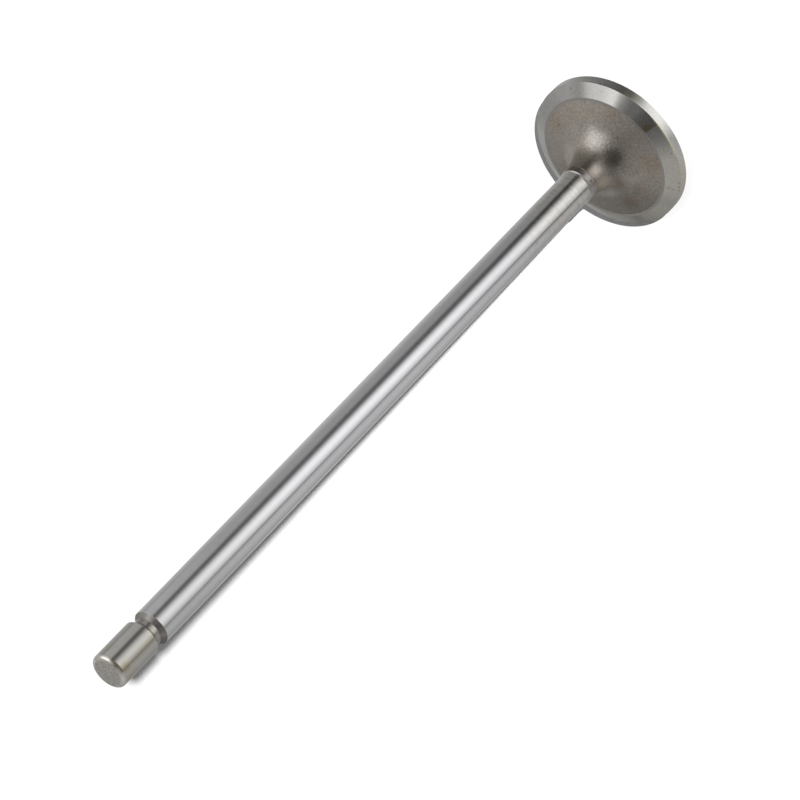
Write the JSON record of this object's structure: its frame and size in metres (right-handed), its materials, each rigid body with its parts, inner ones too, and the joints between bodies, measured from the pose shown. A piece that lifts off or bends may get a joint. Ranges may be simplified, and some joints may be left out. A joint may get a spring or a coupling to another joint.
{
  "type": "engine valve",
  "caption": "One-piece poppet valve with a wide conical seat, a long ground stem and a keeper groove; it opens and seals an engine port.",
  "frame": {"origin": "centre of the flat combustion face, which the valve stands on", "axes": "+Z along the stem from the head to the tip; X and Y lie in the combustion face, and the shape is the same all round +Z"},
  "size_m": [0.0446, 0.0446, 0.218],
  "materials": {
    "valve_steel": "ground bright on the stem, satin turned on the seat and margin, dull scaled turning under the head and on the neck"
  },
  "bodies": {
    "root": {"valve": "valve_steel"}
  },
  "joints": []
}
